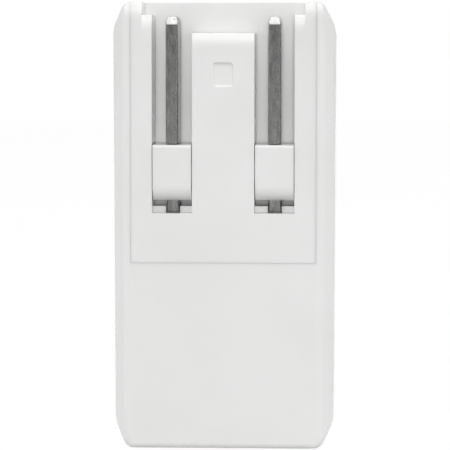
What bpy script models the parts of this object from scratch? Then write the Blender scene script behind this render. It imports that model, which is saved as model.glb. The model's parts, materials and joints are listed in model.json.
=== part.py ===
"""Folding-prong USB wall charger: metres, +Z up, the wall face looks along -Y.

The origin is the centre of the bottom end. The two prongs are folded up at rest
and turn with their carrier about one axis along X.
"""
import math

import bmesh
import bpy
from mathutils import Matrix, Vector

MM = 0.001

# Case
WIDTH_TOP = 27.8 * MM          # across the two broad sides, near the top
WIDTH_BOTTOM = 27.5 * MM       # the broad sides draw in towards the bottom
EDGE_WIDTH_TOP = 24.6 * MM     # between the facets, at the narrow faces
EDGE_WIDTH_BOTTOM = 24.3 * MM
DEPTH = 56.0 * MM
HEIGHT = 55.5 * MM
FACET = 3.1 * MM               # how far each facet reaches over a broad side
WALL = 1.6 * MM
CAVITY_HALF = 11.9 * MM
FRONT_RIM = 4.6 * MM           # the far end's rim is narrower than the cavity
EDGE_ROUND = 0.6 * MM
SEAM = 0.15 * MM

# Cover of the far end
PANEL_HALF = 11.0 * MM
PANEL_BOTTOM = 2.6 * MM
PANEL_TOP = 52.9 * MM
PANEL_THICK = 2.0 * MM
PANEL_SKIRT = 1.3 * MM
PANEL_BACK = 0.2 * MM          # the cover sits this far inside the rim

# Prong plate, the upper part of the wall face
PLATE_HALF = 11.42 * MM
PLATE_BOTTOM = 23.28 * MM
PLATE_THICK = 8.3 * MM
CHANNEL_DEPTH = 7.0 * MM
CHANNEL_INNER = 3.86 * MM
CHANNEL_OUTER = 8.82 * MM
TONGUE_TOP = 51.7 * MM
NOTCH_HALF = 10.1 * MM
NOTCH_BOTTOM = 53.95 * MM
POCKET_BOTTOM = 29.4 * MM
POCKET_TOP = 38.2 * MM
POCKET_FLOOR = 1.0 * MM        # thickness of the shelf below each block
TAIL_SLOT = 1.05 * MM          # half the slot in that shelf, which the blade's tail passes
LATCH_DENT = (2.5 * MM, 0.45 * MM, 3.1 * MM)
LATCH_DENT_Z = 46.5 * MM

FLANGE_HALF = 11.75 * MM       # behind the housing's wall

# Prong hinge
PIVOT_DEPTH = 3.5 * MM
PIVOT_Z = 34.4 * MM
PRONG_X = 6.35 * MM            # blades 12.7 mm apart
BLADE_THICK = 1.5 * MM
BLADE_WIDE = 6.35 * MM
BLADE_OUT = 15.85 * MM         # beyond the carrier block
BLADE_NECK = 3.0 * MM
TAIL_REACH = 6.0 * MM
BLOCK_WIDE = 4.6 * MM
BLOCK_HALF = 3.5 * MM
BAR_RADIUS = 2.0 * MM
JOURNAL_RADIUS = 1.5 * MM
JOURNAL_END = 10.5 * MM
HEEL_ROUND = 2.0 * MM
CORNER_ROUND = 0.4 * MM
CAM_HALF = 1.42 * MM           # square middle of the bar, which the detent spring clicks on
SCREW_Z = (28.2 * MM, 40.9 * MM)
RETAINER_DEPTH = 10.1 * MM
RETAINER_THICK = 1.6 * MM
SCREW_RADIUS = 1.0 * MM
TAB_Z = 40.3 * MM              # where each contact spring's tab passes the retainer
TAB_DEPTH = 13.4 * MM
RUNNING = 0.12 * MM            # clearance of a turning surface
FIT = 0.05 * MM                # between pieces moulded or pressed together

# Ports in the far end
PORT_Z = (34.5 * MM, 21.0 * MM)
PORT_SIZE = (13.1 * MM, 5.7 * MM)
PORT_LENGTH = 14.0 * MM
PORT_SHEET = 0.35 * MM
CONTACT_WIDE = 1.0 * MM
PORT_GAP = 0.2 * MM            # round each socket, in the cover
PORT_BACK = 0.3 * MM           # the sockets' lips sit this far inside the far end

# Boards
BOARD_THICK = 1.2 * MM
BOARD_FACE_X = -9.5 * MM       # side of the main board that carries the parts

MATERIALS = {
    "white_gloss": ((0.78, 0.78, 0.77), 0.18, 0.0),
    "white_satin": ((0.80, 0.80, 0.79), 0.35, 0.0),
    "nickel": ((0.50, 0.50, 0.50), 0.32, 1.0),
    "phosphor_bronze": ((0.70, 0.45, 0.25), 0.35, 1.0),
    "spring_steel": ((0.55, 0.56, 0.58), 0.30, 1.0),
    "gold": ((0.85, 0.62, 0.28), 0.25, 1.0),
    "board_green": ((0.04, 0.20, 0.10), 0.40, 0.0),
    "ferrite": ((0.06, 0.06, 0.065), 0.55, 0.0),
    "tape_yellow": ((0.85, 0.65, 0.08), 0.45, 0.0),
    "component_black": ((0.03, 0.03, 0.03), 0.45, 0.0),
    "component_blue": ((0.05, 0.20, 0.55), 0.40, 0.0),
    "capacitor_can": ((0.10, 0.08, 0.12), 0.35, 0.0),
    "wire_red": ((0.60, 0.04, 0.03), 0.45, 0.0),
    "aluminium": ((0.75, 0.76, 0.77), 0.35, 1.0),
}


def clear_scene():
    for obj in list(bpy.data.objects):
        bpy.data.objects.remove(obj)


def new_collection(name):
    group = bpy.data.collections.new(name)
    bpy.context.scene.collection.children.link(group)
    return group


def make_material(name):
    colour, roughness, metallic = MATERIALS[name]
    material = bpy.data.materials.new(name)
    material.use_nodes = True
    shader = material.node_tree.nodes["Principled BSDF"]
    shader.inputs["Base Color"].default_value = (*colour, 1.0)
    shader.inputs["Roughness"].default_value = roughness
    shader.inputs["Metallic"].default_value = metallic
    return material


clear_scene()
PARTS = new_collection("usb_wall_charger")
CUTTERS = new_collection("cutters")


def add_part(name, mesh, material, location=(0, 0, 0)):
    obj = bpy.data.objects.new(name, mesh)
    obj.location = location
    mesh.materials.clear()
    mesh.materials.append(make_material(material))
    PARTS.objects.link(obj)
    return obj


def bevel(obj, width, segments=2, angle=30):
    modifier = obj.modifiers.new("Edges", "BEVEL")
    modifier.width = width
    modifier.segments = segments
    modifier.limit_method = "ANGLE"
    modifier.angle_limit = math.radians(angle)
    return modifier


def smooth(obj, angle=35):
    obj.data.shade_smooth()
    obj.data.set_sharp_from_angle(angle=math.radians(angle))


def mesh_of(name, build):
    """A mesh made by build(bm)."""
    mesh = bpy.data.meshes.new(name)
    bm = bmesh.new()
    build(bm)
    bmesh.ops.recalc_face_normals(bm, faces=bm.faces)
    bm.to_mesh(mesh)
    bm.free()
    return mesh


def box_mesh(name, low, high):
    """A box between two corners."""
    low, high = Vector(low), Vector(high)

    def build(bm):
        size = high - low
        turn = Matrix.Translation((low + high) / 2) @ Matrix.Diagonal((*size, 1.0))
        bmesh.ops.create_cube(bm, size=1.0, matrix=turn)

    return mesh_of(name, build)


def rod_mesh(name, start, end, radius, sides=24):
    """A cylinder from start to end."""
    start, end = Vector(start), Vector(end)
    along = end - start

    def build(bm):
        aim = along.to_track_quat("Z", "Y").to_matrix().to_4x4()
        turn = Matrix.Translation((start + end) / 2) @ aim
        bmesh.ops.create_cone(
            bm, cap_ends=True, segments=sides, radius1=radius, radius2=radius,
            depth=along.length, matrix=turn)

    return mesh_of(name, build)


def boolean(obj, mesh, operation="DIFFERENCE"):
    """Cut mesh out of obj, or join it to obj, with a guide that isn't built."""
    guide = bpy.data.objects.new(f"guide_{obj.name}_{len(obj.modifiers)}", mesh)
    guide.hide_render = True
    guide.display_type = "WIRE"
    CUTTERS.objects.link(guide)
    guide.matrix_world = Matrix.Translation(obj.location)
    modifier = obj.modifiers.new(operation.title(), "BOOLEAN")
    modifier.operation = operation
    modifier.object = guide


def cut_box(obj, low, high):
    boolean(obj, box_mesh("cut", low, high))


def join_box(obj, low, high):
    boolean(obj, box_mesh("join", low, high), "UNION")


def cut_rod(obj, start, end, radius, sides=24):
    boolean(obj, rod_mesh("cut", start, end, radius, sides))


def join_rod(obj, start, end, radius, sides=24):
    boolean(obj, rod_mesh("join", start, end, radius, sides), "UNION")


def inward(depth):
    """The Y of a point this far in from the wall face."""
    return depth - DEPTH / 2


def simple_box(name, low, high, material, edge=0.2 * MM):
    obj = add_part(name, box_mesh(name, low, high), material)
    if edge:
        bevel(obj, edge, 1)
    return obj


def simple_rod(name, start, end, radius, material, sides=20, edge=0.3 * MM):
    obj = add_part(name, rod_mesh(name, start, end, radius, sides), material)
    if edge:
        bevel(obj, edge, 1, 60)
    smooth(obj)
    return obj


# Case

def housing_cage(bm):
    """A cube whose two broad sides are inset, then stretched so that facets border them."""
    bmesh.ops.create_cube(bm, size=2.0)
    sides = [face for face in bm.faces if abs(face.normal.x) > 0.5]
    bmesh.ops.inset_region(bm, faces=sides, thickness=0.1)
    for vert in bm.verts:
        top = vert.co.z > 0
        raised = max(abs(vert.co.y), abs(vert.co.z)) < 0.95
        inset = FACET if raised else 0.0
        side_width = WIDTH_TOP if top else WIDTH_BOTTOM
        edge_width = EDGE_WIDTH_TOP if top else EDGE_WIDTH_BOTTOM
        vert.co = Vector((
            math.copysign(side_width if raised else edge_width, vert.co.x) / 2,
            math.copysign(DEPTH / 2 - inset, vert.co.y),
            HEIGHT - inset if top else inset))


def main_housing():
    """A sleeve closed towards the wall, its broad sides bordered by facets."""
    obj = add_part("main_housing", mesh_of("main_housing", housing_cage), "white_gloss")
    bevel(obj, EDGE_ROUND, 3, 15)
    rim = DEPTH - FRONT_RIM
    cut_box(obj, (-CAVITY_HALF, inward(WALL), WALL), (CAVITY_HALF, inward(rim), HEIGHT - WALL))
    opening = PANEL_HALF + SEAM
    cut_box(obj, (-opening, inward(rim - MM), PANEL_BOTTOM - SEAM),
            (opening, inward(DEPTH + MM), PANEL_TOP + SEAM))
    window = PLATE_HALF + SEAM
    cut_box(obj, (-window, inward(-MM), PLATE_BOTTOM - SEAM),
            (window, inward(PLATE_THICK + SEAM), HEIGHT + MM))


def port_panel():
    """The cover of the far end, with a skirt inside and a window for each port."""
    face = DEPTH / 2 - PANEL_BACK
    mesh = box_mesh("port_panel", (-PANEL_HALF, face - 4.0 * MM, PANEL_BOTTOM), (PANEL_HALF, face, PANEL_TOP))
    obj = add_part("port_panel", mesh, "white_satin")
    bevel(obj, 0.25 * MM, 1)
    inner = PANEL_HALF - PANEL_SKIRT
    cut_box(obj, (-inner, face - 5.0 * MM, PANEL_BOTTOM + PANEL_SKIRT),
            (inner, face - PANEL_THICK, PANEL_TOP - PANEL_SKIRT))
    wide, tall = (side / 2 + PORT_GAP for side in PORT_SIZE)
    for z in PORT_Z:
        cut_box(obj, (-wide, face - 3.0 * MM, z - tall), (wide, face + MM, z + tall))


def prong_plate():
    """The insert of the wall face: two prong channels, hinge pockets and the adapter recess."""
    low, high = (-PLATE_HALF, inward(0), PLATE_BOTTOM), (PLATE_HALF, inward(PLATE_THICK), HEIGHT)
    mesh = box_mesh("prong_plate", low, high)
    obj = add_part("prong_plate", mesh, "white_gloss")
    above = HEIGHT + MM
    front = inward(-MM)
    rear = inward(PLATE_THICK + 3.0 * MM)
    floor = inward(CHANNEL_DEPTH)
    join_box(obj, (-FLANGE_HALF, inward(WALL + FIT), PLATE_BOTTOM - MM),
             (FLANGE_HALF, inward(3.0 * MM), HEIGHT - 2.0 * MM))
    boss = 2.4 * MM
    for z in SCREW_Z:
        join_box(obj, (-boss, inward(8.0 * MM), z - 1.6 * MM),
                 (boss, inward(RETAINER_DEPTH - 0.1 * MM), z + 1.6 * MM))
    cut_box(obj, (-CHANNEL_OUTER, front, TONGUE_TOP), (CHANNEL_OUTER, floor, above))
    cut_box(obj, (-NOTCH_HALF, front, NOTCH_BOTTOM), (NOTCH_HALF, floor, above))
    for side in (-1, 1):
        near, far = sorted((side * CHANNEL_INNER, side * CHANNEL_OUTER))
        cut_box(obj, (near, front, POCKET_TOP - FIT), (far, floor, TONGUE_TOP + MM))
        cut_box(obj, (near, front, POCKET_BOTTOM), (far, rear, POCKET_TOP))
        near, far = sorted((side * 3.0 * MM, side * 9.9 * MM))
        shelf = POCKET_BOTTOM - POCKET_FLOOR
        cut_box(obj, (near, inward(WALL), PLATE_BOTTOM + 1.4 * MM), (far, rear, shelf))
        near, far = sorted((side * (PRONG_X - TAIL_SLOT), side * (PRONG_X + TAIL_SLOT)))
        cut_box(obj, (near, inward(WALL), shelf - FIT), (far, rear, POCKET_BOTTOM + FIT))
    hollow = 2.6 * MM
    cut_box(obj, (-hollow, inward(WALL), 43.4 * MM), (hollow, rear, TONGUE_TOP - 1.3 * MM))
    inner = CHANNEL_INNER + 0.1 * MM
    slot(obj, -inner, inner, BAR_RADIUS + RUNNING, rear)
    for side in (-1, 1):
        near, far = sorted((side * (CHANNEL_OUTER - 0.1 * MM), side * (JOURNAL_END + RUNNING)))
        slot(obj, near, far, JOURNAL_RADIUS + RUNNING, rear)
    for z in SCREW_Z:
        cut_rod(obj, (0, inward(4.0 * MM), z), (0, rear, z), SCREW_RADIUS + 0.1 * MM, 16)
    wide, deep, tall = LATCH_DENT
    cut_box(obj, (-wide / 2, front, LATCH_DENT_Z - tall / 2),
            (wide / 2, inward(deep), LATCH_DENT_Z + tall / 2))


def slot(obj, low_x, high_x, radius, rear):
    """A round-bottomed seat about the hinge axis, open behind."""
    pivot_y = inward(PIVOT_DEPTH)
    cut_rod(obj, (low_x, pivot_y, PIVOT_Z), (high_x, pivot_y, PIVOT_Z), radius)
    cut_box(obj, (low_x, pivot_y, PIVOT_Z - radius), (high_x, rear, PIVOT_Z + radius))


# Hinge

def carrier_block(bm):
    """A square block across the axis, its heel rounded so that it turns in its pocket."""
    size = Matrix.Diagonal((BLOCK_WIDE, 2 * BLOCK_HALF, 2 * BLOCK_HALF, 1.0))
    bmesh.ops.create_cube(bm, size=1.0, matrix=size)
    along = [edge for edge in bm.edges if abs((edge.verts[0].co - edge.verts[1].co).x) > MM]
    heel = [edge for edge in along if edge.verts[0].co.y < 0 and edge.verts[0].co.z < 0]
    rest = [edge for edge in along if edge not in heel]
    bmesh.ops.bevel(bm, geom=heel, offset=HEEL_ROUND, segments=6, profile=0.5, affect="EDGES")
    bmesh.ops.bevel(bm, geom=rest, offset=CORNER_ROUND, segments=2, profile=0.5, affect="EDGES")
    bmesh.ops.translate(bm, verts=bm.verts, vec=(PRONG_X, 0, 0))


def prong_carrier():
    """Two blocks on one bar; its origin is on the hinge axis."""
    first = mesh_of("prong_carrier", carrier_block)
    obj = add_part("prong_carrier", first, "white_gloss", (0, inward(PIVOT_DEPTH), PIVOT_Z))
    bevel(obj, 0.3 * MM, 2, 60)
    other = first.copy()
    other.transform(Matrix.Translation((-2 * PRONG_X, 0, 0)))
    boolean(obj, other, "UNION")
    inner = PRONG_X - BLOCK_WIDE / 2 + 0.5 * MM
    outer = PRONG_X + 1.5 * MM
    cam = 1.7 * MM
    thick = BLADE_THICK / 2 + FIT
    neck = BLADE_NECK / 2 + FIT
    join_box(obj, (-inner, -CAM_HALF, -CAM_HALF), (inner, CAM_HALF, CAM_HALF))
    for side in (-1, 1):
        join_rod(obj, (side * cam, 0, 0), (side * inner, 0, 0), BAR_RADIUS)
        join_rod(obj, (side * outer, 0, 0), (side * JOURNAL_END, 0, 0), JOURNAL_RADIUS)
        x = side * PRONG_X
        cut_box(obj, (x - thick, -neck, -BLOCK_HALF - MM), (x + thick, neck, BLOCK_HALF + MM))


def prong(name, side):
    """A blade with clipped corners, a neck inside its block and a tail rounded about the axis."""
    root = BLOCK_HALF + FIT
    tip = BLOCK_HALF + BLADE_OUT
    wide = BLADE_WIDE / 2
    neck = BLADE_NECK / 2
    clip = 0.9 * MM
    sweep = math.asin(neck / TAIL_REACH)
    outline = [
        (wide, root), (wide, tip - clip), (wide - clip, tip), (clip - wide, tip),
        (-wide, tip - clip), (-wide, root), (-neck, root)]
    for step in range(7):
        turn = -math.pi / 2 - sweep + 2 * sweep * step / 6
        outline.append((TAIL_REACH * math.cos(turn), TAIL_REACH * math.sin(turn)))
    outline.append((neck, root))
    mesh = extruded(name, outline, BLADE_THICK, 0.22 * MM)
    add_part(name, mesh, "nickel", (side * PRONG_X, inward(PIVOT_DEPTH), PIVOT_Z))


def extruded(name, outline, thick, edge):
    """A flat outline of (y, z) points, this thick along X, its outer edges broken."""

    def build(bm):
        verts = [bm.verts.new((-thick / 2, y, z)) for y, z in outline]
        face = bm.faces.new(verts)
        grown = bmesh.ops.extrude_face_region(bm, geom=[face])
        moved = [item for item in grown["geom"] if isinstance(item, bmesh.types.BMVert)]
        bmesh.ops.translate(bm, verts=moved, vec=(thick, 0, 0))
        bmesh.ops.recalc_face_normals(bm, faces=bm.faces)
        bm.normal_update()
        sharp = [item for item in bm.edges if item.is_convex and item.calc_face_angle() > math.radians(40)]
        bmesh.ops.bevel(bm, geom=sharp, offset=edge, segments=1, affect="EDGES")

    return mesh_of(name, build)


def prong_retainer():
    """The clamp behind the carrier: lugs that reach forward to hold its bar and journals."""
    base = inward(RETAINER_DEPTH)
    back = base + RETAINER_THICK
    root = base + 0.5 * MM
    pivot_y = inward(PIVOT_DEPTH)
    lug = pivot_y + 0.6 * MM
    low, high = SCREW_Z[0] - 1.9 * MM, SCREW_Z[1] + 1.6 * MM
    obj = simple_box("prong_retainer", (-10.8 * MM, base, low), (10.8 * MM, back, high), "white_satin", 0)
    tall = 1.75 * MM
    small = JOURNAL_RADIUS - FIT
    for side in (-1, 1):
        near, far = sorted((side * 2.0 * MM, side * 3.6 * MM))
        join_box(obj, (near, lug, PIVOT_Z - tall), (far, root, PIVOT_Z + tall))
        near, far = sorted((side * 9.0 * MM, side * 10.4 * MM))
        join_box(obj, (near, lug, PIVOT_Z - small), (far, root, PIVOT_Z + small))
        near, far = sorted((side * 8.9 * MM, side * 10.7 * MM))
        cut_rod(obj, (near, pivot_y, PIVOT_Z), (far, pivot_y, PIVOT_Z), JOURNAL_RADIUS + RUNNING)
    join_box(obj, (-2.1 * MM, pivot_y + 2.6 * MM, PIVOT_Z - tall), (2.1 * MM, root, PIVOT_Z + tall))
    cut_rod(obj, (-3.8 * MM, pivot_y, PIVOT_Z), (3.8 * MM, pivot_y, PIVOT_Z), BAR_RADIUS + RUNNING)
    for z in SCREW_Z:
        cut_rod(obj, (0, base - MM, z), (0, back + MM, z), SCREW_RADIUS + 0.25 * MM, 16)
    for side in (-1, 1):
        x = side * PRONG_X
        cut_box(obj, (x - 1.8 * MM, base - MM, TAB_Z - 0.5 * MM), (x + 1.8 * MM, back + MM, TAB_Z + 0.5 * MM))


def strip(name, route, wide, thick, x, material):
    """A bent strip of sheet through (depth, z) points."""
    mesh = bpy.data.meshes.new(name)
    bm = bmesh.new()
    rows = []
    for edge_x in (x - wide / 2, x + wide / 2):
        rows.append([bm.verts.new((edge_x, inward(depth), z)) for depth, z in route])
    for step in range(len(route) - 1):
        bm.faces.new((rows[0][step], rows[0][step + 1], rows[1][step + 1], rows[1][step]))
    bm.to_mesh(mesh)
    bm.free()
    obj = add_part(name, mesh, material)
    solid = obj.modifiers.new("Sheet", "SOLIDIFY")
    solid.thickness = thick
    solid.offset = 0.0
    solid.use_even_offset = True
    return obj


def hinge_springs():
    for name, side in (("left", -1), ("right", 1)):
        strip(f"contact_spring_{name}", [
            (9.90 * MM, 31.6 * MM), (9.78 * MM, 33.2 * MM), (9.78 * MM, 36.0 * MM),
            (9.90 * MM, 38.8 * MM), (9.90 * MM, TAB_Z), (TAB_DEPTH, TAB_Z)],
            2.4 * MM, 0.3 * MM, side * PRONG_X, "phosphor_bronze")
    bow = [((5.72 + 0.07 * abs(step)) * MM, PIVOT_Z + 0.55 * step * MM) for step in range(-3, 4)]
    strip("detent_spring", bow, 3.3 * MM, 0.2 * MM, 0, "spring_steel")


def retainer_screws():
    base = RETAINER_DEPTH + RETAINER_THICK + FIT
    for number, z in enumerate(SCREW_Z, 1):
        head = ((0, inward(base), z), (0, inward(base + 1.25 * MM), z))
        obj = simple_rod(f"retainer_screw_{number}", *head, 1.9 * MM, "spring_steel")
        join_rod(obj, (0, inward(5.0 * MM), z), (0, inward(base + 0.5 * MM), z), SCREW_RADIUS, 16)


# Electronics. Places are (height above the board, depth from the wall face, z) in mm.

BOARD_BLOCKS = (
    ("line_filter_capacitor", (0.1, 19.0, 42.5), (10.6, 30.6, 47.9), "tape_yellow", 0.2),
    ("bridge_rectifier", (0.1, 13.6, 32.0), (2.7, 20.0, 40.3), "component_black", 0.2),
    ("controller_chip", (0.1, 13.2, 19.6), (1.7, 17.1, 24.6), "component_black", 0.1),
    ("output_rectifier", (3.1, 13.2, 4.8), (12.1, 23.2, 9.3), "component_black", 0.2),
    ("heat_spreader", (0.1, 13.0, 9.5), (17.1, 23.6, 10.9), "aluminium", 0.0),
)
BOARD_RODS = (
    ("fuse", (2.1, 20.0, 50.1), (2.1, 30.0, 50.1), 1.8, "white_satin"),
    ("filter_choke", (0.1, 35.4, 46.6), (9.1, 35.4, 46.6), 3.9, "ferrite"),
    ("input_capacitor_1", (0.1, 25.5, 36.8), (16.1, 25.5, 36.8), 4.0, "capacitor_can"),
    ("input_capacitor_2", (0.1, 34.6, 36.8), (16.1, 34.6, 36.8), 4.0, "capacitor_can"),
    ("safety_capacitor", (4.0, 35.4, 21.0), (4.0, 38.6, 21.0), 3.6, "component_blue"),
    ("output_capacitor_1", (0.1, 27.6, 7.8), (11.1, 27.6, 7.8), 3.15, "aluminium"),
    ("output_capacitor_2", (0.1, 35.2, 7.8), (11.1, 35.2, 7.8), 3.15, "aluminium"),
)
TRANSFORMER_DEPTH = 26.4
TRANSFORMER_Z = 20.7


def on_board(height, depth, z):
    """The place of a point on the main board, from millimetres."""
    return Vector((BOARD_FACE_X + height * MM, inward(depth * MM), z * MM))


def boards():
    near_z, far_z = 3.4, 52.2
    main_low = on_board(-BOARD_THICK / MM, 12.6, near_z)
    simple_box("main_board", main_low, on_board(0, 39.6, far_z), "board_green", 0)
    face = DEPTH / 2 - PORT_BACK - PORT_LENGTH - 0.1 * MM
    low, high = (-9.2 * MM, face - BOARD_THICK, 9.0 * MM), (10.6 * MM, face, 46.0 * MM)
    simple_box("usb_board", low, high, "board_green", 0)
    low, high = on_board(0.05, 36.4, 26.8), on_board(2.6, 39.0, 32.0)
    row = simple_box("board_header", low, high, "component_black", 0)
    for step in range(4):
        low, high = on_board(1.0, 38.5, 27.6 + 1.2 * step), on_board(1.6, 39.0, 28.2 + 1.2 * step)
        high.y = face - BOARD_THICK - 0.1 * MM
        join_box(row, low, high)


def board_parts():
    for name, low, high, material, edge in BOARD_BLOCKS:
        simple_box(name, on_board(*low), on_board(*high), material, edge * MM)
    for name, start, end, radius, material in BOARD_RODS:
        simple_rod(name, on_board(*start), on_board(*end), radius * MM, material)


def transformer_box(low_height, high_height, half_depth, half_tall):
    """Two corners of a box centred on the transformer's middle leg."""
    low = on_board(low_height, TRANSFORMER_DEPTH - half_depth, TRANSFORMER_Z - half_tall)
    high = on_board(high_height, TRANSFORMER_DEPTH + half_depth, TRANSFORMER_Z + half_tall)
    return low, high


def transformer():
    """A ferrite frame round a bobbin, whose winding is wrapped in tape."""
    bobbin = simple_box("transformer_bobbin", *transformer_box(0.1, 2.1, 6.3, 8.3), "component_black", 0)
    join_box(bobbin, *transformer_box(1.1, 14.1, 2.4, 2.8))
    core = simple_box("transformer_core", *transformer_box(2.2, 16.7, 8.0, 2.8), "ferrite")
    cut_box(core, *transformer_box(4.4, 14.4, 5.7, 10.0))
    cut_box(core, *transformer_box(0.1, 6.1, 2.5, 10.0))
    winding = simple_box("transformer_winding", *transformer_box(4.6, 14.2, 5.4, 7.1), "tape_yellow", MM)
    cut_box(winding, *transformer_box(3.1, 16.1, 2.5, 2.9))


def ports():
    """Each socket: a shell, an insulator with its tongue, and four contacts under the tongue."""
    wide, tall = (side / 2 for side in PORT_SIZE)
    rear = DEPTH / 2 - PORT_BACK - PORT_LENGTH
    lip = DEPTH / 2 - PORT_BACK
    inner_wide, inner_tall = wide - PORT_SHEET, tall - PORT_SHEET
    tongue_wide, tongue_low, tongue_high = 5.3 * MM, 0.05 * MM, 1.89 * MM
    for name, z in zip(("upper", "lower"), PORT_Z):
        low, high = (-wide, rear, z - tall), (wide, lip, z + tall)
        shell = simple_box(f"usb_shell_{name}", low, high, "nickel", 0.5 * MM)
        cut_box(shell, (-inner_wide, rear - MM, z - inner_tall), (inner_wide, lip + MM, z + inner_tall))
        base = (inner_wide - FIT, inner_tall - FIT)
        insulator = simple_box(
            f"usb_tongue_{name}", (-base[0], rear, z - base[1]), (base[0], rear + 4.0 * MM, z + base[1]),
            "component_black", 0)
        join_box(insulator, (-tongue_wide, rear + 3.0 * MM, z + tongue_low),
                 (tongue_wide, lip - 1.6 * MM, z + tongue_high))
        for number, x in enumerate((-3.5 * MM, -1.0 * MM, 1.0 * MM, 3.5 * MM), 1):
            simple_box(
                f"usb_contact_{name}_{number}", (x - CONTACT_WIDE / 2, rear + 4.1 * MM, z - 0.17 * MM),
                (x + CONTACT_WIDE / 2, lip - 2.4 * MM, z), "gold", 0)


def wire(name, start, bend, end, radius, material):
    """An insulated lead along one smooth curve pulled towards the bend."""
    curve = bpy.data.curves.new(name, "CURVE")
    curve.dimensions = "3D"
    curve.bevel_depth = radius
    curve.bevel_resolution = 2
    curve.use_fill_caps = True
    count = 14
    spline = curve.splines.new("POLY")
    spline.points.add(count - 1)
    start, bend, end = Vector(start), Vector(bend), Vector(end)
    for step in range(count):
        t = step / (count - 1)
        point = (1 - t) ** 2 * start + 2 * t * (1 - t) * bend + t ** 2 * end
        spline.points[step].co = (*point, 1.0)
    obj = bpy.data.objects.new(name, curve)
    curve.materials.append(make_material(material))
    PARTS.objects.link(obj)


def input_wires():
    """From each contact spring's tab to the mains end of the main board."""
    leads = (("live", 1, 49.6, "wire_red"), ("neutral", -1, 45.8, "component_black"))
    for name, side, z, material in leads:
        start = (side * PRONG_X, inward(TAB_DEPTH + 0.9 * MM), TAB_Z + 0.8 * MM)
        bend = (side * 3.0 * MM, inward(14.8 * MM), (z + 3.0) * MM)
        wire(f"input_wire_{name}", start, bend, on_board(0.9, 15.4, z), 0.65 * MM, material)


def main():
    main_housing()
    port_panel()
    prong_plate()
    prong_carrier()
    prong("prong_left", -1)
    prong("prong_right", 1)
    prong_retainer()
    hinge_springs()
    retainer_screws()
    boards()
    board_parts()
    transformer()
    ports()
    input_wires()


main()
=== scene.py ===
"""Looks of the folding-prong USB wall charger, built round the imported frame."""
import json
import math

import bmesh
import bpy
from mathutils import Matrix, Vector


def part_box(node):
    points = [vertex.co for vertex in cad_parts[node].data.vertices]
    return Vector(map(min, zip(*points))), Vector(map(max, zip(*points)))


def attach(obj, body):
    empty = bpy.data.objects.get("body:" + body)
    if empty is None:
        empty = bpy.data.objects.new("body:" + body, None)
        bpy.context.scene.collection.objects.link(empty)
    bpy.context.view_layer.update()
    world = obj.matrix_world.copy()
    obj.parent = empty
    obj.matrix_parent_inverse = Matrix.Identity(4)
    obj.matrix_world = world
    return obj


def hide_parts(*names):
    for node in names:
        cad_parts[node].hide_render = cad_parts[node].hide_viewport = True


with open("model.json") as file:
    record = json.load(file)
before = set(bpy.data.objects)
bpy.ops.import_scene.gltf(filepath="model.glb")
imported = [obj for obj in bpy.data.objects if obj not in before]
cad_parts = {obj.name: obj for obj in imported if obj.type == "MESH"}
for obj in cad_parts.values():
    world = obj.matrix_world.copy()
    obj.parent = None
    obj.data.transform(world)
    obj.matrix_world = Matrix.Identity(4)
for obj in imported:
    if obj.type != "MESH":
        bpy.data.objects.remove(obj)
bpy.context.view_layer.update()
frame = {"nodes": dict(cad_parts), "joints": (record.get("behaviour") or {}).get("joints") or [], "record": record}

MM = 0.001
FINE = 0.003 * MM                         # closer than this, points are one
LAP = 0.1 * MM                            # a cutter runs this far into the next
NUDGE = 0.05 * MM                         # keeps two cutters' faces apart

# Places read from the frame
CASE_LOW, CASE_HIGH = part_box("main_housing")
PLATE_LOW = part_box("prong_plate")[0]
PANEL_LOW, PANEL_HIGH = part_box("port_panel")
PRONG_LOW, PRONG_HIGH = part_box("prong_right")
PIVOT = Vector(frame["joints"][0]["pos_m"])
WALL_FACE = CASE_LOW.y
FAR_FACE = CASE_HIGH.y
HEIGHT = CASE_HIGH.z

# Sizes of the visible forms
FACET = 3.1 * MM
CASE_WALL = 1.6 * MM
CAVITY_HALF = 11.9 * MM
COVER_RIM = 4.6 * MM                     # depth of the far end that the cover closes
BEYOND = 15 * MM                         # past the widest piece
SIDE_HALF = (13.75 * MM, 13.9 * MM)      # bottom, top
EDGE_HALF = (12.15 * MM, 12.3 * MM)
SEAM = 0.01 * MM                         # fine gap between moulded pieces
PLATE_HALF = 11.49 * MM
PLATE_BOTTOM = PLATE_LOW.z + 0.95 * MM
PLATE_THICK = 8.3 * MM
PLATE_SKIN = 1.6 * MM
PLATE_SILL = 1.4 * MM
PLATE_HOLLOW = (3.0 * MM, 9.9 * MM)
CHANNEL_DEPTH = 7.0 * MM
CHANNEL = (3.86 * MM, 8.82 * MM)
TONGUE_TOP = 51.7 * MM
NOTCH_HALF = 10.1 * MM
NOTCH_BOTTOM = 53.95 * MM
RIM_LEAD = (2.7 * MM, 1.25 * MM)         # drop and depth of the rounded tops
NOTCH_LEAD = (2.3 * MM, 1.3 * MM)
TONGUE_LEAD = (2.2 * MM, 1.1 * MM)
POCKET = (29.4 * MM, 38.2 * MM)
POCKET_FLOOR = 1.0 * MM
TAIL_SLOT = 0.86 * MM
TAIL_FRONT = 0.55 * MM                   # of the slot, ahead of the step wall
HEEL_SWEEP = 4.35 * MM
STEP_DEPTH = 2.4 * MM                    # of the wall seen below each block
DENT_Z = 46.5 * MM
DENT_SIZE = (2.5 * MM, 3.1 * MM)
DENT_DEEP = 0.45 * MM
PRONG_X = (PRONG_LOW.x + PRONG_HIGH.x) / 2
BLADE_THICK = PRONG_HIGH.x - PRONG_LOW.x
BLOCK_WIDE = 4.8 * MM
BLOCK_HALF = 3.5 * MM
BAR_RADIUS = 2.0 * MM
BAR_START = 1.7 * MM
STUB_RADIUS = 1.5 * MM
STUB_END = 10.5 * MM
TURN_GAP = 0.12 * MM                     # round whatever turns in the plate
CROWN_FLAT = 8.2 * MM                    # the wall face is level to here
CROWN_REACH = 12.3 * MM
CROWN_FALL = 0.20 * MM
CROWN_SKIN = 2.5 * MM                    # deeper than this nothing moves
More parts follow.
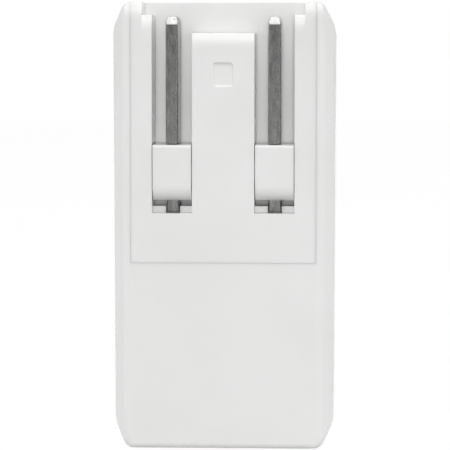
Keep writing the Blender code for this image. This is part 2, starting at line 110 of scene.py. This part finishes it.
PORTS = {"upper": 34.5 * MM, "lower": 21.0 * MM}


def inward(depth):
    """The Y of a point this far in from the wall face."""
    return WALL_FACE + depth


def outward(azimuth, elevation):
    """The direction from the object to a camera or a lamp, from angles in degrees."""
    turn, rise = math.radians(azimuth), math.radians(elevation)
    return Vector((math.sin(turn) * math.cos(rise), -math.cos(turn) * math.cos(rise), math.sin(rise)))


# Mesh tools

def new_object(name, mesh):
    """An object round the mesh, linked to the scene."""
    obj = bpy.data.objects.new(name, mesh)
    bpy.context.scene.collection.objects.link(obj)
    return obj


def mesh_from(build):
    mesh = bpy.data.meshes.new("piece")
    bm = bmesh.new()
    build(bm)
    bmesh.ops.recalc_face_normals(bm, faces=bm.faces)
    bm.to_mesh(mesh)
    bm.free()
    return mesh


def box_mesh(low, high):
    low, high = Vector(low), Vector(high)
    place = Matrix.Translation((low + high) / 2) @ Matrix.Diagonal((*(high - low), 1.0))
    return mesh_from(lambda bm: bmesh.ops.create_cube(bm, size=1.0, matrix=place))


def rod_mesh(start, end, radius, sides=48):
    start, end = Vector(start), Vector(end)
    along = end - start
    place = Matrix.Translation((start + end) / 2) @ along.to_track_quat("Z", "Y").to_matrix().to_4x4()
    return mesh_from(lambda bm: bmesh.ops.create_cone(
        bm, cap_ends=True, segments=sides, radius1=radius, radius2=radius, depth=along.length, matrix=place))


def prism_mesh(outline, low_x, high_x):
    """An outline of (y, z) points carried from low_x to high_x."""

    def build(bm):
        face = bm.faces.new([bm.verts.new((low_x, y, z)) for y, z in outline])
        grown = bmesh.ops.extrude_face_region(bm, geom=[face])
        moved = [item for item in grown["geom"] if isinstance(item, bmesh.types.BMVert)]
        bmesh.ops.translate(bm, verts=moved, vec=(high_x - low_x, 0, 0))

    return mesh_from(build)


def apply(obj):
    """Bake the modifiers into the mesh."""
    bpy.context.view_layer.update()
    depsgraph = bpy.context.evaluated_depsgraph_get()
    mesh = bpy.data.meshes.new_from_object(obj.evaluated_get(depsgraph))
    obj.modifiers.clear()
    obj.data = mesh


def combine(obj, meshes, operation="DIFFERENCE"):
    """Cut each mesh out of obj, or join each to it."""
    tools = []
    for mesh in meshes:
        tool = new_object("tool", mesh)
        tools.append(tool)
        modifier = obj.modifiers.new("Cut", "BOOLEAN")
        modifier.operation = operation
        modifier.solver = "MANIFOLD"
        modifier.object = tool
    apply(obj)
    for tool in tools:
        bpy.data.objects.remove(tool)


def weigh_edges(obj, at_seam, angle=35, seam_weight=0.2):
    """Merge flat neighbours, then mark sharp edges for soften, lightly where both ends are at a seam."""
    bm = bmesh.new()
    bm.from_mesh(obj.data)
    bmesh.ops.remove_doubles(bm, verts=bm.verts, dist=FINE)
    bmesh.ops.dissolve_degenerate(bm, edges=bm.edges, dist=FINE)
    bmesh.ops.dissolve_limit(bm, angle_limit=math.radians(0.5), verts=bm.verts, edges=bm.edges)
    layer = bm.edges.layers.float.new("bevel_weight_edge")
    for edge in bm.edges:
        if len(edge.link_faces) == 2 and edge.calc_face_angle() > math.radians(angle):
            edge[layer] = seam_weight if all(at_seam(vert.co) for vert in edge.verts) else 1.0
    bm.to_mesh(obj.data)
    bm.free()


def soften(obj, width, segments=3, angle=30):
    """Round every edge sharper than the angle."""
    modifier = obj.modifiers.new("Soft", "BEVEL")
    modifier.width = width
    modifier.segments = segments
    weighed = "bevel_weight_edge" in obj.data.attributes
    modifier.limit_method = "WEIGHT" if weighed else "ANGLE"
    modifier.angle_limit = math.radians(angle)
    apply(obj)


def shade(obj, angle=40):
    """Smooth shading that keeps edges sharper than the angle."""
    obj.data.shade_smooth()
    obj.data.set_sharp_from_angle(angle=math.radians(angle))
    modifier = obj.modifiers.new("Normals", "WEIGHTED_NORMAL")
    modifier.keep_sharp = True
    modifier.weight = 90
    return obj


def place(obj, body, slot, material, *nodes):
    """Give a finished piece its material, attach it to its body and hide the CAD nodes it stands for; the slot is
    not used.
    """
    obj.data.materials.clear()
    obj.data.materials.append(material)
    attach(obj, body)
    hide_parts(*nodes)
    return obj


def mirrored(mesh):
    """The mesh reflected in the plane X = 0."""
    other = mesh.copy()
    other.transform(Matrix.Diagonal((-1, 1, 1, 1)))
    other.flip_normals()
    return other


def both_sides(low, high):
    """A box and its reflection in X = 0."""
    first = box_mesh(low, high)
    return [first, mirrored(first)]


def lead_in(low_x, high_x, top, lead, steps=10):
    """A cutter that rounds the front edge below top into part of an ellipse."""
    drop, deep = lead
    outline = []
    for step in range(steps + 1):
        turn = math.pi / 2 * step / steps
        outline.append((inward(deep * (1 - math.cos(turn))), top - drop + drop * math.sin(turn)))
    outline.append((inward(deep), top + MM))
    outline.append((inward(-MM), top + MM))
    outline.append((inward(-MM), top - drop))
    return prism_mesh(outline, low_x, high_x)


def slice_at(bm, point, normal):
    """Cut the faces along a plane and keep both sides."""
    bmesh.ops.bisect_plane(
        bm, geom=bm.verts[:] + bm.edges[:] + bm.faces[:], plane_co=point, plane_no=normal, dist=1e-6)


def crown(obj):
    """Let the wall face fall away towards its long edges, as moulded faces do."""
    columns, rows = 10, 24
    slope = CROWN_REACH - CROWN_FLAT
    bm = bmesh.new()
    bm.from_mesh(obj.data)
    for step in range(1, columns):
        for side in (-1, 1):
            x = side * (CROWN_FLAT + slope * step / columns)
            slice_at(bm, (x, 0, 0), (1, 0, 0))
    for step in range(1, rows):
        slice_at(bm, (0, 0, HEIGHT * step / rows), (0, 0, 1))
    for vert in bm.verts:
        across = min(max((abs(vert.co.x) - CROWN_FLAT) / slope, 0.0), 1.0)
        depth = vert.co.y - WALL_FACE
        if depth < CROWN_SKIN:
            vert.co.y += CROWN_FALL * across ** 2 * (1 - depth / CROWN_SKIN)
    bm.to_mesh(obj.data)
    bm.free()


# Materials

def shader_of(material):
    return material.node_tree.nodes["Principled BSDF"]


def new_material(name, roughness, metallic=0.0):
    material = bpy.data.materials.new(name)
    material.use_nodes = True
    shader = shader_of(material)
    shader.inputs["Roughness"].default_value = roughness
    shader.inputs["Metallic"].default_value = metallic
    return material


def noise(material, scale, detail=2.0, stretch=(1, 1, 1)):
    """A noise over the object's own coordinates, in cycles per millimetre."""
    tree = material.node_tree
    coords = tree.nodes.new("ShaderNodeTexCoord")
    mapping = tree.nodes.new("ShaderNodeMapping")
    mapping.inputs["Scale"].default_value = [1000 * scale * part for part in stretch]
    texture = tree.nodes.new("ShaderNodeTexNoise")
    texture.inputs["Scale"].default_value = 1.0
    texture.inputs["Detail"].default_value = detail
    tree.links.new(coords.outputs["Object"], mapping.inputs["Vector"])
    tree.links.new(mapping.outputs["Vector"], texture.inputs["Vector"])
    return texture.outputs["Fac"]


def ramp(material, value, low, high, start=0.3, end=0.7):
    """value turned into a colour between low and high."""
    node = material.node_tree.nodes.new("ShaderNodeValToRGB")
    first, last = node.color_ramp.elements
    first.position, last.position = start, end
    first.color, last.color = (*low, 1.0), (*high, 1.0)
    material.node_tree.links.new(value, node.inputs["Fac"])
    return node.outputs["Color"]


def remap(material, value, low, high, start=0.3, end=0.7):
    node = material.node_tree.nodes.new("ShaderNodeMapRange")
    for name, number in (("From Min", start), ("From Max", end), ("To Min", low), ("To Max", high)):
        node.inputs[name].default_value = number
    material.node_tree.links.new(value, node.inputs["Value"])
    return node.outputs["Result"]


def bump(material, value, strength, distance):
    node = material.node_tree.nodes.new("ShaderNodeBump")
    node.inputs["Strength"].default_value = strength
    node.inputs["Distance"].default_value = distance
    material.node_tree.links.new(value, node.inputs["Height"])
    material.node_tree.links.new(node.outputs["Normal"], shader_of(material).inputs["Normal"])


def feed(material, socket, output):
    material.node_tree.links.new(output, shader_of(material).inputs[socket])


def moulded(name, dark, light, roughness, texture_scale=0.9, texture=0.12, coat=0.0, subsurface=0.0):
    """Moulded plastic: a faint cloudiness, a slightly uneven polish and a fine skin."""
    material = new_material(name, roughness)
    feed(material, "Base Color", ramp(material, noise(material, 0.09), dark, light))
    feed(material, "Roughness", remap(material, noise(material, 0.5, 4.0), roughness * 0.85, roughness * 1.2))
    bump(material, noise(material, texture_scale, 2.0), texture, 0.02 * MM)
    shader = shader_of(material)
    shader.inputs["Coat Weight"].default_value = coat
    shader.inputs["Coat Roughness"].default_value = 0.08
    shader.inputs["Subsurface Weight"].default_value = subsurface
    shader.inputs["Subsurface Radius"].default_value = (1.0, 0.95, 0.9)
    shader.inputs["Subsurface Scale"].default_value = 0.8 * MM
    return material


def metal(name, dark, light, roughness, stretch=(1, 1, 1), scale=1.2, texture=0.2):
    """Plated or rolled metal: mottled tone, uneven polish and fine rolling marks."""
    material = new_material(name, roughness, 1.0)
    tone = noise(material, scale, 4.0, stretch)
    feed(material, "Base Color", ramp(material, tone, dark, light, 0.35, 0.65))
    polish = noise(material, scale * 1.7, 3.0, stretch)
    feed(material, "Roughness", remap(material, polish, roughness * 0.7, roughness * 1.35))
    bump(material, noise(material, scale * 4, 3.0, stretch), texture, 0.02 * MM)
    return material


WHITE = moulded("gloss_white", (0.775, 0.775, 0.765), (0.80, 0.80, 0.795), 0.20, 0.7, 0.05, 0.25, 0.4)
SATIN = moulded("satin_white", (0.77, 0.77, 0.76), (0.80, 0.80, 0.79), 0.42, 6.0, 0.35, 0.0, 0.4)
BLADE = metal("nickel_plate", (0.20, 0.20, 0.198), (0.29, 0.29, 0.285), 0.24, (1, 1, 0.2), 2.6, 0.05)
SHELL = metal("tinned_steel", (0.52, 0.52, 0.52), (0.64, 0.64, 0.64), 0.28, (1, 0.25, 1), 1.6, 0.2)
BRONZE = metal("phosphor_bronze", (0.55, 0.33, 0.16), (0.70, 0.46, 0.26), 0.35)
SPRING = metal("spring_steel", (0.45, 0.46, 0.47), (0.60, 0.61, 0.62), 0.3)
GOLD = metal("gold_flash", (0.75, 0.52, 0.20), (0.86, 0.64, 0.30), 0.22)
BARE = metal("bare_aluminium", (0.66, 0.67, 0.68), (0.78, 0.79, 0.80), 0.38, (1, 1, 0.2))
BOARD = moulded("solder_resist", (0.02, 0.14, 0.06), (0.05, 0.24, 0.11), 0.35, 3.0, 0.3, 0.3)
BLACK = moulded("moulded_black", (0.018, 0.018, 0.018), (0.035, 0.035, 0.036), 0.45, 5.0, 0.4)
BLUE = moulded("dipped_blue", (0.04, 0.16, 0.45), (0.06, 0.24, 0.60), 0.35, 1.5, 0.3)
CAN = moulded("sleeved_can", (0.07, 0.05, 0.09), (0.12, 0.10, 0.14), 0.32, 1.5, 0.15)
TAPE = moulded("polyester_tape", (0.70, 0.50, 0.05), (0.85, 0.66, 0.10), 0.38, 2.0, 0.3)
FERRITE = moulded("ferrite", (0.045, 0.045, 0.048), (0.085, 0.085, 0.09), 0.6, 4.0, 0.7)
RED = moulded("red_insulation", (0.50, 0.03, 0.02), (0.62, 0.05, 0.04), 0.4, 2.0, 0.2)

SLOT_MATERIALS = {
    "case_white": WHITE, "panel_white": SATIN, "blade_metal": SHELL, "contact_bronze": BRONZE,
    "spring_steel": SPRING, "contact_gold": GOLD, "board_green": BOARD, "component_black": BLACK,
    "component_blue": BLUE, "capacitor_can": CAN, "tape_yellow": TAPE, "ferrite": FERRITE,
    "bare_aluminium": BARE, "wire_red": RED,
}


def finish_cad_nodes():
    """Every node that stays gets its slot's material."""
    for entry in frame["record"]["subparts"]:
        node = frame["nodes"][entry["node"]]
        node.data.materials.clear()
        node.data.materials.append(SLOT_MATERIALS[entry["material_slot"]])


# Case

def housing_cage(bm):
    """A block whose broad sides stand out, with a sloping facet from them to every edge."""
    margin = 0.1
    bmesh.ops.create_cube(bm, size=2.0)
    sides = [face for face in bm.faces if abs(face.normal.x) > 0.5]
    bmesh.ops.inset_region(bm, faces=sides, thickness=margin)
    for vert in bm.verts:
        top = vert.co.z > 0
        raised = max(abs(vert.co.y), abs(vert.co.z)) < 1 - margin / 2
        inset = FACET if raised else 0.0
        half = SIDE_HALF if raised else EDGE_HALF
        vert.co = Vector((
            math.copysign(half[1 if top else 0], vert.co.x),
            math.copysign(FAR_FACE - inset, vert.co.y),
            HEIGHT - inset if top else inset))


def housing():
    """The case: the faceted block, hollowed, with the far end and the plate's window cut."""
    obj = new_object("housing_shell", mesh_from(housing_cage))
    soften(obj, 0.75 * MM, 6, 12)
    rim = FAR_FACE - COVER_RIM
    opening = PANEL_HIGH.x + SEAM
    window = PLATE_HALF + SEAM
    cutters = [
        box_mesh((-CAVITY_HALF, inward(CASE_WALL), CASE_WALL), (CAVITY_HALF, rim, HEIGHT - CASE_WALL)),
        box_mesh((-opening, rim - MM, PANEL_LOW.z - SEAM), (opening, FAR_FACE + MM, PANEL_HIGH.z + SEAM)),
        box_mesh((-window, inward(-MM), PLATE_BOTTOM - SEAM),
                 (window, inward(PLATE_THICK + SEAM), HEIGHT + MM)),
    ]
    for side in (-1, 1):
        cutters.append(lead_in(*sorted((side * (window - MM), side * BEYOND)), HEIGHT, RIM_LEAD))
    combine(obj, cutters)
    soften(obj, 0.03 * MM, 2, 35)
    crown(obj)
    place(shade(obj), "case", "case_white", WHITE, "main_housing")


def plate():
    """The upper wall face, with its channels, pockets, tongue and open top."""
    obj = new_object("prong_plate_shell", box_mesh(
        (-PLATE_HALF, inward(0), PLATE_BOTTOM), (PLATE_HALF, inward(PLATE_THICK), HEIGHT)))
    front, rear, above = inward(-MM), inward(PLATE_THICK + MM), HEIGHT + MM
    floor = inward(CHANNEL_DEPTH)
    shelf = POCKET[0] - POCKET_FLOOR
    inner, outer = CHANNEL
    bar, stub = BAR_RADIUS + TURN_GAP, STUB_RADIUS + TURN_GAP
    bar_half = inner + LAP
    cutters = [
        lead_in(-BEYOND, BEYOND, HEIGHT, RIM_LEAD),
        lead_in(-NOTCH_HALF, NOTCH_HALF, NOTCH_BOTTOM, NOTCH_LEAD),
        box_mesh((-outer, front, TONGUE_TOP), (outer, floor, above)),
        box_mesh((-NOTCH_HALF, front, NOTCH_BOTTOM), (NOTCH_HALF, floor, above)),
        *both_sides((inner, front, POCKET[1] - NUDGE), (outer, floor, TONGUE_TOP + MM)),
        *both_sides((inner, front, POCKET[0]), (outer, inward(STEP_DEPTH), POCKET[1])),
        *both_sides((inner, front, PIVOT.z), (outer, floor, POCKET[1])),
        *both_sides((inner, front, PIVOT.z - BLOCK_HALF - TURN_GAP),
                    (outer, rear, PIVOT.z + BLOCK_HALF - NUDGE)),
        *both_sides((PLATE_HOLLOW[0], inward(PLATE_SKIN), PLATE_BOTTOM + PLATE_SILL),
                    (PLATE_HOLLOW[1], rear, shelf)),
        *both_sides((PRONG_X - TAIL_SLOT, inward(STEP_DEPTH - TAIL_FRONT), shelf - LAP),
                    (PRONG_X + TAIL_SLOT, rear, PIVOT.z + LAP)),
        rod_mesh((-bar_half, PIVOT.y, PIVOT.z), (bar_half, PIVOT.y, PIVOT.z), bar),
        box_mesh((-bar_half, PIVOT.y, PIVOT.z - bar), (bar_half, rear, PIVOT.z + bar)),
    ]
    for side in (-1, 1):
        low_x, high_x = sorted((side * inner, side * outer))
        cutters.append(rod_mesh((low_x, PIVOT.y, PIVOT.z), (high_x, PIVOT.y, PIVOT.z), HEEL_SWEEP, 96))
        low_x, high_x = sorted((side * (outer - LAP), side * (STUB_END + TURN_GAP)))
        cutters.append(rod_mesh((low_x, PIVOT.y, PIVOT.z), (high_x, PIVOT.y, PIVOT.z), stub))
        cutters.append(box_mesh((low_x, PIVOT.y, PIVOT.z - stub), (high_x, rear, PIVOT.z + stub)))
    cutters.append(lead_in(-bar_half, bar_half, TONGUE_TOP, TONGUE_LEAD))
    cutters.append(dent_mesh())
    combine(obj, cutters)
    weigh_edges(obj, lambda point: abs(point.x) > PLATE_HALF - FINE or point.z < PLATE_BOTTOM + FINE)
    soften(obj, 0.14 * MM, 3)
    crown(obj)
    place(shade(obj), "case", "case_white", WHITE, "prong_plate")


def dent_mesh():
    """The latch dent: a shallow rounded square with sloping sides."""
    wide, tall = DENT_SIZE
    obj = new_object("dent", box_mesh(
        (-wide / 2, inward(-DENT_DEEP), DENT_Z - tall / 2),
        (wide / 2, inward(DENT_DEEP), DENT_Z + tall / 2)))
    soften(obj, 0.42 * MM, 5, 30)
    mesh = obj.data.copy()
    bpy.data.objects.remove(obj)
    return mesh


def panel():
    """The cover of the far end, with a window for each socket."""
    obj = new_object("port_cover", box_mesh(PANEL_LOW, PANEL_HIGH))
    skirt, face = 1.3 * MM, 2.0 * MM
    wide, tall = 6.75 * MM, 3.05 * MM     # half of each socket's window
    cutters = [box_mesh(
        (PANEL_LOW.x + skirt, PANEL_LOW.y - MM, PANEL_LOW.z + skirt),
        (PANEL_HIGH.x - skirt, PANEL_HIGH.y - face, PANEL_HIGH.z - skirt))]
    for z in PORTS.values():
        cutters.append(box_mesh((-wide, PANEL_LOW.y, z - tall), (wide, FAR_FACE + MM, z + tall)))
    combine(obj, cutters)
    soften(obj, 0.3 * MM, 4, 35)
    place(shade(obj), "case", "panel_white", SATIN, "port_panel")


def spring_tab(x, low, high):
    """Cutters for three sides of a tab in both broad walls of a shell."""
    half, kerf = 1.1 * MM, 0.3 * MM
    near, far = high.y - 3.0 * MM, high.y - 7.5 * MM
    below, above = low.z - MM, high.z + MM
    cutters = []
    for side in (-half, half):
        cutters.append(box_mesh((x + side - kerf / 2, far, below), (x + side + kerf / 2, near, above)))
    cutters.append(box_mesh(
        (x - half, near - 0.2 * MM, below), (x + half, near - 0.2 * MM + kerf, above)))
    return cutters


def sockets():
    """Rolled steel shells with two spring tabs in each broad wall."""
    sheet, tab_x = 0.35 * MM, 3.0 * MM
    for name in PORTS:
        low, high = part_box(f"usb_shell_{name}")
        obj = new_object(f"socket_shell_{name}", box_mesh(low, high))
        soften(obj, 0.6 * MM, 5)
        combine(obj, [box_mesh(
            (low.x + sheet, low.y - MM, low.z + sheet), (high.x - sheet, high.y + MM, high.z - sheet))])
        combine(obj, spring_tab(-tab_x, low, high) + spring_tab(tab_x, low, high))
        soften(obj, 0.05 * MM, 2, 40)
        place(shade(obj), "case", "blade_metal", SHELL, f"usb_shell_{name}")


# Prongs

def block_mesh(x):
    """One block, with a broad rounding at its heel and small ones on its other long edges."""
    mesh = box_mesh((x - BLOCK_WIDE / 2, PIVOT.y - BLOCK_HALF, PIVOT.z - BLOCK_HALF),
                    (x + BLOCK_WIDE / 2, PIVOT.y + BLOCK_HALF, PIVOT.z + BLOCK_HALF))
    bm = bmesh.new()
    bm.from_mesh(mesh)
    along = [edge for edge in bm.edges if abs((edge.verts[0].co - edge.verts[1].co).x) > MM]
    heel = [edge for edge in along if edge.verts[0].co.y < PIVOT.y and edge.verts[0].co.z < PIVOT.z]
    rest = [edge for edge in along if edge not in heel]
    bmesh.ops.bevel(bm, geom=heel, offset=2.0 * MM, segments=10, profile=0.5, affect="EDGES")
    bmesh.ops.bevel(bm, geom=rest, offset=0.42 * MM, segments=4, profile=0.5, affect="EDGES")
    bm.to_mesh(mesh)
    bm.free()
    return mesh


def carrier():
    """The two blocks on their bar, with a square cam between them and a stub at each end."""
    obj = new_object("prong_blocks", block_mesh(-PRONG_X))
    inner = PRONG_X - BLOCK_WIDE / 2 + 0.5 * MM
    cam = 1.42 * MM
    stub_start = PRONG_X + 1.5 * MM
    joins = [
        block_mesh(PRONG_X),
        box_mesh((-inner, PIVOT.y - cam, PIVOT.z - cam), (inner, PIVOT.y + cam, PIVOT.z + cam)),
    ]
    for side in (-1, 1):
        for start, end, radius in ((BAR_START, inner, BAR_RADIUS), (stub_start, STUB_END, STUB_RADIUS)):
            joins.append(rod_mesh((side * start, PIVOT.y, PIVOT.z), (side * end, PIVOT.y, PIVOT.z), radius))
    combine(obj, joins, "UNION")
    soften(obj, 0.28 * MM, 4, 60)
    wide, deep, tall = 0.8 * MM, 1.55 * MM, 5 * MM     # half of the slot each blade sits in
    slots = []
    for x in (-PRONG_X, PRONG_X):
        slots.append(box_mesh(
            (x - wide, PIVOT.y - deep, PIVOT.z - tall), (x + wide, PIVOT.y + deep, PIVOT.z + tall)))
    combine(obj, slots)
    place(shade(obj), "prongs", "case_white", WHITE, "prong_carrier")


def blade_outline(tip):
    """(y, z) points: clipped corners at the tip, a narrow tail with a round end."""
    root, wide, neck, clip, tail = 3.55 * MM, 3.175 * MM, 1.5 * MM, 0.95 * MM, 6.0 * MM
    sweep, steps = math.asin(neck / tail), 12
    points = [
        (wide, root), (wide, tip - clip), (wide - clip, tip),
        (clip - wide, tip), (-wide, tip - clip), (-wide, root), (-neck, root),
    ]
    for step in range(steps + 1):
        turn = -math.pi / 2 - sweep + 2 * sweep * step / steps
        points.append((tail * math.cos(turn), tail * math.sin(turn)))
    points.append((neck, root))
    return [(PIVOT.y + y, PIVOT.z + z) for y, z in points]


def thin_tip(mesh, x, top):
    """Chamfer both broad faces at the top of a blade, and close the cuts."""
    half, thinning = BLADE_THICK / 2, 0.25 * MM
    bm = bmesh.new()
    bm.from_mesh(mesh)
    for face in (-1, 1):
        cut = bmesh.ops.bisect_plane(
            bm, geom=bm.verts[:] + bm.edges[:] + bm.faces[:],
            plane_co=(x + face * (half - thinning), 0, top),
            plane_no=Vector((face * 0.55, 0, 0.25)).normalized(), clear_outer=True, dist=1e-7)
        edges = [item for item in cut["geom_cut"] if isinstance(item, bmesh.types.BMEdge)]
        bmesh.ops.contextual_create(bm, geom=edges)
    bmesh.ops.recalc_face_normals(bm, faces=bm.faces)
    bm.to_mesh(mesh)
    bm.free()


def blades():
    """Clipped blades, their tips thinned on both faces and every edge slightly broken."""
    tip = PRONG_HIGH.z - PIVOT.z
    half = BLADE_THICK / 2
    for name, x in (("left", -PRONG_X), ("right", PRONG_X)):
        mesh = prism_mesh(blade_outline(tip), x - half, x + half)
        thin_tip(mesh, x, PRONG_HIGH.z)
        obj = new_object(f"blade_{name}", mesh)
        soften(obj, 0.19 * MM, 2, 12)
        place(shade(obj, 50), "prongs", "blade_metal", BLADE, f"prong_{name}")


# Stage

ROOM_LIGHT = (0.08, 0.22)        # on matt surfaces: from below, from above
SIDE_LIGHT = (0.94, 1.00)        # more from the left and from the right
ROOM_MIRRORED = (0.85, 3.8)      # in gloss: round the horizon, overhead
DARK_FRONT = 0.35                # the dark side of the room, behind the camera
FLOOR_GLOW = 0.9
SOFTBOXES = (                    # name, azimuth, elevation, size, light on a face turned to it
    ("front_softbox", 1.5, 1.0, 0.12, 0.54),
    ("top_softbox", -2.0, 50.0, 0.30, 0.19),
)


def stage_and_light():
    """A pale floor, a world whose level depends on the kind of ray, and two soft lamps."""
    bpy.context.scene.view_settings.view_transform = "Standard"
    reach, gap = 1.5, 0.2 * MM
    floor = new_object("floor", box_mesh((-reach, -reach, -10 * MM), (reach, reach, -gap)))
    paper = new_material("paper", 0.9)
    shader_of(paper).inputs["Specular IOR Level"].default_value = 0.0
    feed(paper, "Base Color", ramp(paper, noise(paper, 0.001), (0.17, 0.17, 0.17), (0.19, 0.19, 0.19)))
    shader_of(paper).inputs["Emission Color"].default_value = (1, 1, 1, 1)
    shader_of(paper).inputs["Emission Strength"].default_value = FLOOR_GLOW
    floor.data.materials.append(paper)
    floor.visible_diffuse = False

    world = bpy.data.worlds.new("studio")
    bpy.context.scene.world = world
    world.use_nodes = True
    nodes, links = world.node_tree.nodes, world.node_tree.links
    coords = nodes.new("ShaderNodeTexCoord").outputs["Generated"]

    def toward(direction, start, end, low, high):
        """A level that runs from low to high as a ray turns toward direction."""
        dot = nodes.new("ShaderNodeVectorMath")
        dot.operation = "DOT_PRODUCT"
        dot.inputs[1].default_value = Vector(direction).normalized()
        links.new(coords, dot.inputs[0])
        level = nodes.new("ShaderNodeMapRange")
        level.interpolation_type = "SMOOTHSTEP"
        for name, number in (("From Min", start), ("From Max", end), ("To Min", low), ("To Max", high)):
            level.inputs[name].default_value = number
        links.new(dot.outputs["Value"], level.inputs["Value"])
        return level.outputs["Result"]

    def wire(value, socket):
        """A plain number is set on the socket and anything else is linked to it."""
        if isinstance(value, float):
            socket.default_value = value
        else:
            links.new(value, socket)

    def mixed(kind, first, second):
        """Two levels added or multiplied."""
        node = nodes.new("ShaderNodeMath")
        node.operation = kind
        wire(first, node.inputs[0])
        wire(second, node.inputs[1])
        return node.outputs[0]

    def chosen(test, otherwise, when):
        """One of two levels, by the kind of ray."""
        node = nodes.new("ShaderNodeMix")
        links.new(test, node.inputs["Factor"])
        wire(otherwise, node.inputs["A"])
        wire(when, node.inputs["B"])
        return node.outputs["Result"]

    sides = mixed("ADD", toward((-1.0, 0, 0), 0.35, 0.9, 0.0, SIDE_LIGHT[0]),
                  toward((1.0, 0, 0), 0.35, 0.9, 0.0, SIDE_LIGHT[1]))
    diffuse = mixed("ADD", toward((0.0, 0.0, 1.0), -0.6, 0.6, *ROOM_LIGHT), sides)
    glossy = mixed("MULTIPLY", toward((0.0, -0.05, 1.0), 0.2, 0.97, *ROOM_MIRRORED),
                   toward((0.05, -1.0, -0.05), 0.72, 0.94, 1.0, DARK_FRONT))
    path = nodes.new("ShaderNodeLightPath").outputs
    unseen = chosen(path["Is Glossy Ray"], diffuse, glossy)
    links.new(chosen(path["Is Camera Ray"], unseen, 1.0), nodes["Background"].inputs["Color"])

    for name, azimuth, elevation, size, level in SOFTBOXES:
        light = bpy.data.lights.new(name, "AREA")
        light.size = size
        light.energy = level * math.pi ** 2
        lamp = bpy.data.objects.new(name, light)
        away = outward(azimuth, elevation)
        lamp.location = away + Vector((0, 0, HEIGHT / 2))
        lamp.rotation_euler = (-away).to_track_quat("-Z", "Y").to_euler()
        lamp.visible_glossy = False
        bpy.context.scene.collection.objects.link(lamp)


def camera():
    """A level view of the wall face, slightly from the right and from above."""
    distance = 0.30
    across, sensor = 55.7 * MM, 36.0      # what the picture spans at the wall face, and the sensor
    middle = Vector((0.25 * MM, WALL_FACE, 27.98 * MM))
    away = outward(2.7, 4.0)
    data = bpy.data.cameras.new("camera")
    data.sensor_width = sensor
    data.lens = sensor / across * distance
    data.clip_start = 0.01
    eye = bpy.data.objects.new("camera", data)
    eye.location = middle + away * distance
    eye.rotation_euler = (-away).to_track_quat("-Z", "Y").to_euler()
    bpy.context.scene.collection.objects.link(eye)
    bpy.context.scene.camera = eye


def write_sizes():
    bpy.context.view_layer.update()


camera()
finish_cad_nodes()
housing()
plate()
panel()
sockets()
carrier()
blades()
stage_and_light()
write_sizes()
